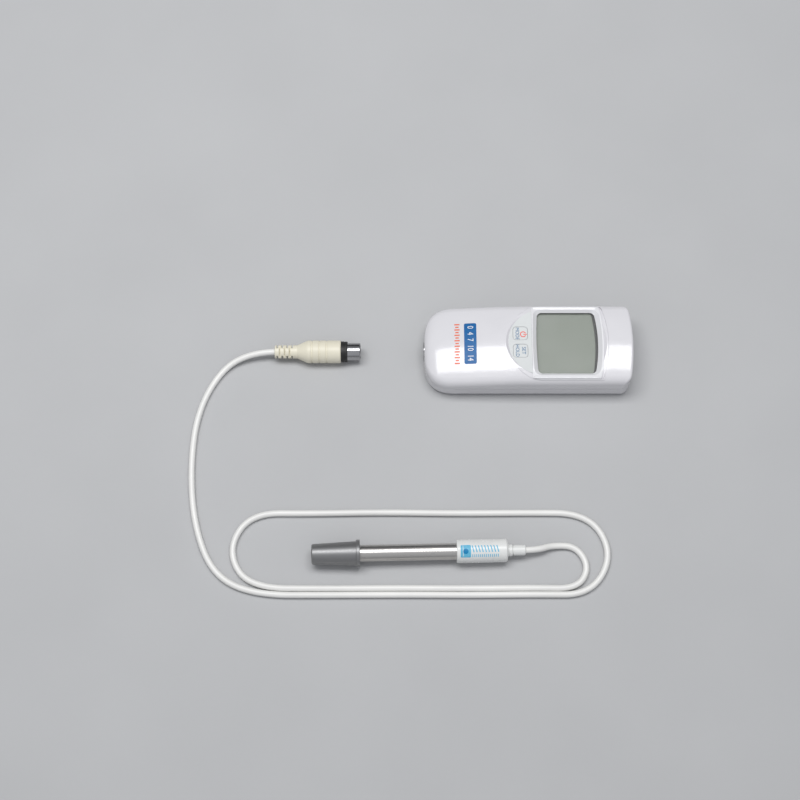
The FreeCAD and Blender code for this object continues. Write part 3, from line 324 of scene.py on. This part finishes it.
def make_materials():
    look = {}
    glossy = {"spot": 35, "grain": 1100, "depth": 0.000004, "coat": 0.25, "spread": 0.04}
    look["housing_white"] = plastic("housing_white", (0.690, 0.683, 0.708), (0.720, 0.712, 0.736),
                                    0.15, **glossy)
    # The housing's white painted lighter for the bezel and its rails: painted light that makes up for the shade on
    # the bezel's sloping sides.
    look["bezel_white_painted_light"] = plastic("bezel_white_painted_light", (0.745, 0.745, 0.765), (0.775, 0.775, 0.79),
                                  0.18, **glossy)
    look["keypad_grey"] = plastic("keypad_grey", (0.63, 0.65, 0.65), (0.67, 0.69, 0.685), 0.55,
                                  spot=90, grain=3200, depth=0.000012, spread=0.06)
    look["window_clear"] = clear("window_clear", (0.62, 0.64, 0.62), 0.10, 0.05)
    look["black_plastic"] = plastic("black_plastic", (0.012, 0.012, 0.013), (0.020, 0.020, 0.021),
                                    0.38, grain=1400, depth=0.000010)
    look["lcd_grey"] = display_glass("lcd_grey")
    look["elastomer"] = plastic("elastomer", (0.30, 0.22, 0.22), (0.36, 0.27, 0.26), 0.6,
                                grain=2200)
    look["board_green"] = board("board_green")
    look["chip_black"] = plastic("chip_black", (0.014, 0.014, 0.015), (0.024, 0.024, 0.025), 0.5,
                                 grain=2600)
    look["screw_steel"] = metal("screw_steel", (0.50, 0.50, 0.52), (0.62, 0.62, 0.63), 0.32)
    look["battery_skin"] = cell_sleeve("battery_skin")
    look["spring_steel"] = metal("spring_steel", (0.58, 0.58, 0.60), (0.70, 0.70, 0.71), 0.25,
                                 (0.2, 1.0, 1.0))
    look["seal_rubber"] = plastic("seal_rubber", (0.010, 0.010, 0.010), (0.018, 0.018, 0.018),
                                  0.55, grain=1800, depth=0.000015)
    # Nickel's colour is painted darker than bare nickel's: a painted reflection of dark surroundings.
    look["nickel"] = metal("nickel", (0.36, 0.36, 0.37), (0.46, 0.46, 0.47), 0.14,
                           (1.0, 0.15, 0.15))
    look["gold_pin"] = metal("gold_pin", (0.72, 0.50, 0.18), (0.83, 0.60, 0.25), 0.22)
    look["grip_cream"] = plastic("grip_cream", (0.74, 0.70, 0.565), (0.79, 0.75, 0.62), 0.42,
                                 spot=70, grain=900, depth=0.000014)
    look["grip_white"] = plastic("grip_white", (0.74, 0.75, 0.735), (0.78, 0.785, 0.77), 0.30,
                                 spot=60, grain=1000, depth=0.000010)
    look["titanium"] = metal("titanium", (0.54, 0.525, 0.505), (0.64, 0.625, 0.605), 0.29,
                             (0.06, 1.0, 1.0), grain=2600, depth=0.0000010, spread=0.02)
    look["electrode_glass"] = clear("electrode_glass", (0.80, 0.86, 0.88), 0.06, 0.35)
    look["junction_white"] = plastic("junction_white", (0.70, 0.68, 0.64), (0.78, 0.76, 0.72),
                                     0.75, grain=2800, depth=0.00003)
    look["silver_wire"] = metal("silver_wire", (0.62, 0.61, 0.58), (0.75, 0.74, 0.72), 0.28)
    look["cap_grey"] = clear("cap_grey", (0.27, 0.271, 0.275), 0.42, 0.88, grain=1000, coat=0.4,
                             shine=0.7)
    look["cable_white"] = plastic("cable_white", (0.78, 0.775, 0.755), (0.83, 0.825, 0.80), 0.34,
                                  spot=30, grain=700, depth=0.000012)
    look["label_blue"] = plastic("label_blue", (0.72, 0.73, 0.72), (0.77, 0.775, 0.765), 0.25,
                                 spot=90, grain=1500, depth=0.000004)
    for name, dark, light in (("ink_plate", (0.004, 0.105, 0.310), (0.008, 0.130, 0.360)),
                              ("ink_teal", (0.006, 0.200, 0.430), (0.012, 0.240, 0.490)),
                              ("ink_blue", (0.015, 0.120, 0.270), (0.028, 0.150, 0.320)),
                              ("ink_red", (0.780, 0.085, 0.060), (0.840, 0.120, 0.085)),
                              ("ink_orange", (0.760, 0.150, 0.075), (0.810, 0.195, 0.105)),
                              ("ink_cyan", (0.100, 0.430, 0.640), (0.160, 0.500, 0.700)),
                              ("ink_white", (0.780, 0.785, 0.790), (0.840, 0.845, 0.850))):
        look[name] = plastic(name, dark, light, 0.38, spot=500, grain=2600, depth=0.000004,
                             Specular_IOR_Level=0.3)
    return look


# The bezel takes the housing white painted lighter, a painted light against the shade on its slopes.
OWN_LOOK = {"plug_grip": "grip_cream", "display_bezel": "bezel_white_painted_light"}


def dress_nodes(look):
    """Gives each CAD node smooth faces and its slot's material, or its own where it has one."""
    for row in frame["record"]["subparts"]:
        mesh = nodes[row["node"]].data
        mesh.materials.clear()
        mesh.materials.append(look[OWN_LOOK.get(row["node"], row["material_slot"])])
        mesh.polygons.foreach_set("use_smooth", [True] * len(mesh.polygons))


# ---------------------------------------------------------------------------
# Printing: closed thin layers of ink that follow the surface under them
# ---------------------------------------------------------------------------
INK = 0.06                      # how far ink stands above the surface
ROOT = 0.15                     # how far it reaches below it
FACET = 1.2                     # widest facet of a mark, so that it follows a curve
OVER = 0.05                     # how much higher ink stands where it is printed on other ink
ABOVE_FRONT = 40.0              # height above the meter's front to look down from
HANDLE_RADIUS = 8.4
OUTSIDE_HANDLE = 20.0           # distance from the handle's axis to look in from


def filled(curve):
    """The filled faces of a lettering or flat curve as a bmesh, in millimetres."""
    source = bpy.data.objects.new("print_source", curve)
    scene.collection.objects.link(source)
    graph = bpy.context.evaluated_depsgraph_get()
    mesh = bpy.data.meshes.new_from_object(source.evaluated_get(graph))
    flat = bmesh.new()
    flat.from_mesh(mesh)
    bmesh.ops.remove_doubles(flat, verts=flat.verts, dist=0.0005)
    bpy.data.objects.remove(source)
    bpy.data.meshes.remove(mesh)
    bpy.data.curves.remove(curve)
    return flat


def lettering(words, length, height):
    """Lettering centred on the origin, of the given size."""
    curve = bpy.data.curves.new("lettering", "FONT")
    curve.body = words
    curve.resolution_u = 5
    curve.size = 4.0                    # near enough, because it is scaled to size below
    flat = filled(curve)
    for axis, size in enumerate((length, height)):
        low = min(vert.co[axis] for vert in flat.verts)
        high = max(vert.co[axis] for vert in flat.verts)
        for vert in flat.verts:
            vert.co[axis] = (vert.co[axis] - (low + high) / 2) * size / (high - low)
    return flat


def shapes(outlines):
    """Filled outlines, each a list of (x, y), none of them touching another."""
    curve = bpy.data.curves.new("shapes", "CURVE")
    curve.dimensions = "2D"
    curve.fill_mode = "BOTH"
    for outline in outlines:
        spline = curve.splines.new("POLY")
        spline.points.add(len(outline) - 1)
        for point, (x, y) in zip(spline.points, outline):
            point.co = (x, y, 0.0, 1.0)
        spline.use_cyclic_u = True
    return filled(curve)


def arc(radius, start, end, count=24, x=0.0, y=0.0):
    """Points on an arc, its angles in degrees."""
    angles = [math.radians(start + (end - start) * i / (count - 1)) for i in range(count)]
    return [(x + radius * math.cos(a), y + radius * math.sin(a)) for a in angles]


def bar(x, y, wide, tall, lean=0.0):
    """A bar centred on x, y. Its top stands lean further along x than its foot."""
    corners = ((-1, -1), (1, -1), (1, 1), (-1, 1))
    return [(x + (i * wide + j * lean) / 2, y + j * tall / 2) for i, j in corners]


def row(count, step, y, wide, heights, lean=0.0):
    """A row of bars centred on x = 0, their heights taken in turn."""
    return [bar(step * (i - (count - 1) / 2), y, wide, heights[i % len(heights)], lean)
            for i in range(count)]


def rounded(length, height, radius):
    """A rectangle with rounded corners, centred on the origin."""
    outline = []
    for i, (across, up) in enumerate(((1, 1), (-1, 1), (-1, -1), (1, -1))):
        outline += arc(radius, 90 * i, 90 * i + 90, 8,
                       across * (length / 2 - radius), up * (height / 2 - radius))
    return outline


def skin(*names):
    """A searchable surface of CAD nodes, which lie where their meshes say."""
    verts, faces = [], []
    for name in names:
        mesh = nodes[name].data
        faces += [[len(verts) + v for v in face.vertices] for face in mesh.polygons]
        verts += [vert.co.copy() for vert in mesh.vertices]
    return BVHTree.FromPolygons(verts, faces)


def on_front(x, y):
    """A place on the meter's front: lettering runs towards -Y with its tops towards +X."""
    def aim(along, up):
        return mm(x + up, y - along, ABOVE_FRONT), Vector((0.0, 0.0, -1.0))
    return aim


def round_handle(x, turned):
    """A place round the electrode's handle, turned in degrees from its top towards -Y."""
    low, high = (Vector(corner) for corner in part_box("electrode_handle"))
    centre = (low + high) / 2
    slide = next(joint for joint in frame["joints"] if joint["name"] == "cap_slide")
    axis = -Vector(slide["axis"]).normalized()
    side = axis.cross(Vector((0.0, 0.0, 1.0))).normalized()
    top = side.cross(axis)

    def aim(along, up):
        angle = math.radians(turned) - up / HANDLE_RADIUS
        out = top * math.cos(angle) + side * math.sin(angle)
        on_axis = centre + axis * ((x + along) * MM - centre.x)
        return on_axis + out * OUTSIDE_HANDLE * MM, -out
    return aim


def add_piece(name, solid, body, material):
    """Makes a closed bmesh a piece that rides on a body, and returns its mesh."""
    bmesh.ops.recalc_face_normals(solid, faces=solid.faces)
    mesh = bpy.data.meshes.new(name)
    solid.to_mesh(mesh)
    solid.free()
    mesh.materials.append(material)
    piece = bpy.data.objects.new(name, mesh)
    scene.collection.objects.link(piece)
    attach(piece, body)
    return mesh


def printed(name, flat, aim, surface, body, material, lift=0.0):
    """Lays a flat shape on a surface as a closed layer of ink that rides on a body."""
    for axis in (0, 1):
        places = [vert.co[axis] for vert in flat.verts]
        low, high = min(places), max(places)
        normal = Vector((1.0, 0.0, 0.0)) if axis == 0 else Vector((0.0, 1.0, 0.0))
        for i in range(1, math.ceil((high - low) / FACET)):
            bmesh.ops.bisect_plane(flat, geom=flat.verts[:] + flat.edges[:] + flat.faces[:],
                                   plane_co=normal * (low + i * FACET), plane_no=normal)
    below = flat.verts[:]
    grown = bmesh.ops.extrude_face_region(flat, geom=flat.faces[:], use_keep_orig=True)["geom"]
    above = [item for item in grown if isinstance(item, bmesh.types.BMVert)]
    for verts, rise in ((below, -ROOT), (above, INK + lift)):
        for vert in verts:
            start, way = aim(vert.co.x, vert.co.y)
            hit = surface.ray_cast(start, way)[0]
            if hit is None:
                raise RuntimeError("%s leaves its surface" % name)
            vert.co = hit - way * rise * MM
    add_piece(name, flat, body, material)


# ---------------------------------------------------------------------------
# Rails: a raised bar along each long side of the display's bezel
# ---------------------------------------------------------------------------
RAIL_START, RAIL_END = 2.8, 51.8        # along the meter
RAIL_PARTS = 12                         # lengths that its run is divided into
RAIL_TAPER = 2.4                        # length over which each end sinks into the bezel
RAIL_INNER, RAIL_OUTER = 26.0, 28.35    # its sides' distances from the meter's middle
RAIL_FOOT = 25.5                        # height of its underside, inside the bezel
RAIL_TOP_INNER = 27.72                  # heights of its top's two edges
RAIL_TOP_OUTER = 27.86
RAIL_EDGE = 0.42                        # radius of its outer top edge
RAIL_CHAMFER = (0.12, 0.06)             # width and height of its inner top edge
RAIL_TIP = (0.25, 0.6625)               # parts of its width and height left at its tips
SHARP = 35.0                            # degrees between faces that meet at a real edge
QUARTER = [math.radians(15.0 * i) for i in range(7)]


def rail_profile():
    """The rail's cross-section: distances from the meter's middle, and heights."""
    across, down = RAIL_CHAMFER
    profile = [(RAIL_INNER, RAIL_FOOT), (RAIL_INNER, RAIL_TOP_INNER - down),
               (RAIL_INNER + across, RAIL_TOP_INNER)]
    profile += [(RAIL_OUTER - RAIL_EDGE * (1 - math.sin(a)),
                 RAIL_TOP_OUTER - RAIL_EDGE * (1 - math.cos(a))) for a in QUARTER]
    return profile + [(RAIL_OUTER, RAIL_FOOT)]


def make_rail(name, side, material):
    """One rail, sinking away at both ends. Its side is 1 towards +Y and -1 towards -Y."""
    taper = [RAIL_TAPER * (1 - math.cos(a)) for a in QUARTER]
    part = (RAIL_END - RAIL_START) / RAIL_PARTS
    steps = [RAIL_START + x for x in taper]
    steps += [RAIL_START + part * i for i in range(1, RAIL_PARTS)]
    steps += [RAIL_END - x for x in reversed(taper)]
    profile = rail_profile()
    rail = bmesh.new()
    rings = []
    for x in steps:
        near = min(x - RAIL_START, RAIL_END - x, RAIL_TAPER) / RAIL_TAPER
        full = math.sqrt(1 - (1 - near) ** 2)
        wide, tall = (tip + (1 - tip) * full for tip in RAIL_TIP)
        rings.append([rail.verts.new(mm(x, side * (RAIL_OUTER - (RAIL_OUTER - y) * wide),
                                        RAIL_FOOT + (z - RAIL_FOOT) * tall))
                      for y, z in profile])
    count = len(profile)
    for a, b in zip(rings, rings[1:]):
        for i in range(count):
            j = (i + 1) % count
            rail.faces.new((a[i], a[j], b[j], b[i]))
    rail.faces.new(rings[0])
    rail.faces.new(rings[-1])
    mesh = add_piece(name, rail, "meter", material)
    mesh.polygons.foreach_set("use_smooth", [True] * len(mesh.polygons))
    mesh.set_sharp_from_angle(angle=math.radians(SHARP))


# ---------------------------------------------------------------------------
# The marks: plain words on the keys, a pH scale on the front, a plain label on the handle
# ---------------------------------------------------------------------------
# Each row: name, words, key, place on the front (x, y), length and height.
KEY_WORDS = (("mark_mode", "MODE", "power_key", (-8.4, 6.6), (9.4, 2.7)),
             ("mark_hold", "HOLD", "set_key", (-8.5, -6.9), (9.4, 2.7)),
             ("mark_set", "SET", "set_key", (-3.8, -6.9), (5.8, 2.8)))
POWER_PLACE = (-4.2, 6.1)
POWER_RING = (2.3, 1.65)        # outer and inner radius
POWER_OPEN = (118.0, 422.0)     # angles between which the ring runs, open at its top
POWER_STROKE = (0.0, 1.5, 0.65, 2.6)    # x, y, width and height
PLATE_PLACE, PLATE_SIZE, PLATE_CORNER = (-43.15, -0.25), (32.3, 9.1), 1.3
NUMBERS, NUMBERS_PLACE, NUMBERS_SIZE = "0  4  7  10  14", (-43.0, -0.25), (27.6, 4.3)
SCALE_PLACE = (-52.9, -0.3)
HANDLE_TURN = 15.0              # degrees from the handle's top towards -Y
BLOCK_PLACE, BLOCK_SIZE, BLOCK_CORNER = -48.4, (7.4, 9.2), 0.8
DOT_RADIUS = 1.9
ROWS_PLACE = -34.4


def make_key_marks(look):
    keys = {name: skin(name) for name in ("power_key", "set_key")}
    for name, words, key, place, size in KEY_WORDS:
        printed(name, lettering(words, *size), on_front(*place), keys[key], key,
                look["ink_blue"])
    start, end = POWER_OPEN
    ring = arc(POWER_RING[0], start, end) + arc(POWER_RING[1], end, start)
    printed("mark_power", shapes([ring, bar(*POWER_STROKE)]), on_front(*POWER_PLACE),
            keys["power_key"], "power_key", look["ink_red"])


def make_front_marks(look):
    front = skin("front_shell")
    plate = rounded(*PLATE_SIZE, PLATE_CORNER)
    printed("label_plate", shapes([plate]), on_front(*PLATE_PLACE), front, "meter",
            look["ink_plate"])
    printed("label_numbers", lettering(NUMBERS, *NUMBERS_SIZE), on_front(*NUMBERS_PLACE), front,
            "meter", look["ink_white"], lift=OVER)
    scale = row(count=15, step=2.2, y=0.0, wide=1.05, heights=(3.9, 2.5))
    printed("scale_strip", shapes(scale), on_front(*SCALE_PLACE), front, "meter",
            look["ink_orange"])


def make_handle_marks(look):
    handle = skin("electrode_handle", "handle_label")
    on_block = round_handle(BLOCK_PLACE, HANDLE_TURN)
    printed("handle_block", shapes([rounded(*BLOCK_SIZE, BLOCK_CORNER)]), on_block, handle,
            "probe_lead", look["ink_cyan"])
    printed("handle_dot", shapes([arc(DOT_RADIUS, 0.0, 345.0)]), on_block, handle,
            "probe_lead", look["ink_teal"], lift=OVER)
    rows = row(count=9, step=2.2, y=1.7, wide=0.8, heights=(5.0,), lean=-1.2)
    rows += row(count=14, step=1.4, y=-3.3, wide=0.55, heights=(2.2,))
    printed("handle_rows", shapes(rows), round_handle(ROWS_PLACE, HANDLE_TURN), handle,
            "probe_lead", look["ink_cyan"])


look = make_materials()
make_camera()
make_cord(look["cable_white"])
make_floor()
make_softbox()
make_sky()
dress_nodes(look)
# Both rails take the bezel's white, painted lighter: painted light against the shade on the bezel.
make_rail("bezel_rail_far", 1, look["bezel_white_painted_light"])
make_rail("bezel_rail_near", -1, look["bezel_white_painted_light"])
make_key_marks(look)
make_front_marks(look)
make_handle_marks(look)
